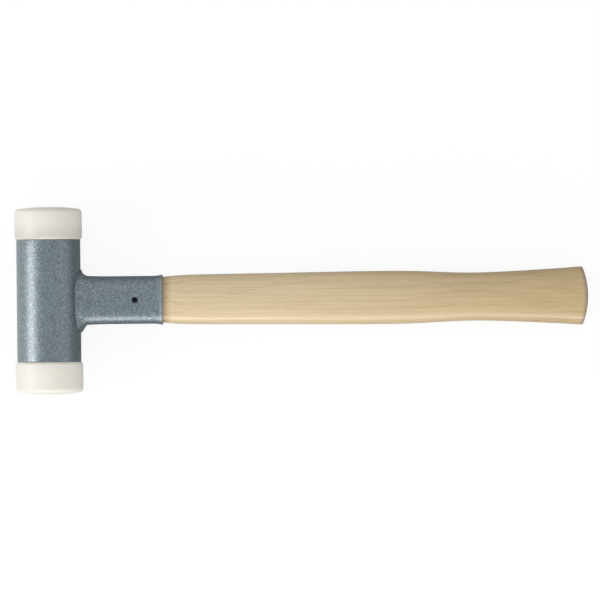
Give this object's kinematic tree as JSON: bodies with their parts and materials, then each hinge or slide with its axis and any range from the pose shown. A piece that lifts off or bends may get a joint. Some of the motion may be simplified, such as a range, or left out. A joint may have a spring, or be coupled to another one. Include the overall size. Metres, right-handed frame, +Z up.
{
  "type": "dead blow hammer",
  "caption": "Dead blow hammer: a painted steel tube head with nylon faces and loose shot inside, on a hickory handle pinned in a welded oval socket.",
  "frame": {"origin": "on the ground under the middle of the hammer's box, with the hammer lying on its broad side", "axes": "+X along the handle from the head to the butt, +Y along the head, +Z up"},
  "size_m": [0.34, 0.111, 0.04],
  "materials": {
    "hammertone_paint": "blue-grey hammertone paint, satin, finely mottled",
    "nylon": "turned off-white nylon, smooth and faintly waxy",
    "hickory": "straight-grained hickory, satin clear coat",
    "bright_steel": "bare steel, satin",
    "spring_steel": "blackened spring steel"
  },
  "bodies": {
    "frame": {"head_tube": "hammertone_paint", "upper_plate": "bright_steel", "lower_plate": "bright_steel", "handle_socket": "hammertone_paint", "socket_weld": "hammertone_paint", "roll_pin": "spring_steel", "handle": "hickory"},
    "upper_face": {"upper_face": "nylon"},
    "lower_face": {"lower_face": "nylon"},
    "shot_charge": {"shot_01": "bright_steel", "shot_02": "bright_steel", "shot_03": "bright_steel", "shot_04": "bright_steel", "shot_05": "bright_steel", "shot_06": "bright_steel", "shot_07": "bright_steel", "shot_08": "bright_steel", "shot_09": "bright_steel", "shot_10": "bright_steel", "shot_11": "bright_steel", "shot_12": "bright_steel", "shot_13": "bright_steel", "shot_14": "bright_steel", "shot_15": "bright_steel", "shot_16": "bright_steel", "shot_17": "bright_steel", "shot_18": "bright_steel", "shot_19": "bright_steel", "shot_20": "bright_steel", "shot_21": "bright_steel", "shot_22": "bright_steel", "shot_23": "bright_steel", "shot_24": "bright_steel", "shot_25": "bright_steel", "shot_26": "bright_steel", "shot_27": "bright_steel", "shot_28": "bright_steel", "shot_29": "bright_steel", "shot_30": "bright_steel", "shot_31": "bright_steel", "shot_32": "bright_steel", "shot_33": "bright_steel", "shot_34": "bright_steel", "shot_35": "bright_steel", "shot_36": "bright_steel", "shot_37": "bright_steel", "shot_38": "bright_steel", "shot_39": "bright_steel"}
  },
  "joints": [
    {"name": "shot_slide", "type": "slide", "parent": "frame", "child": "shot_charge", "axis": [0, 1, 0], "range_m": [0, 0.0177]},
    {"name": "upper_face_pull", "type": "slide", "parent": "frame", "child": "upper_face", "axis": [0, 1, 0], "range_m": [0, 0.02]},
    {"name": "lower_face_pull", "type": "slide", "parent": "frame", "child": "lower_face", "axis": [0, -1, 0], "range_m": [0, 0.02]}
  ]
}
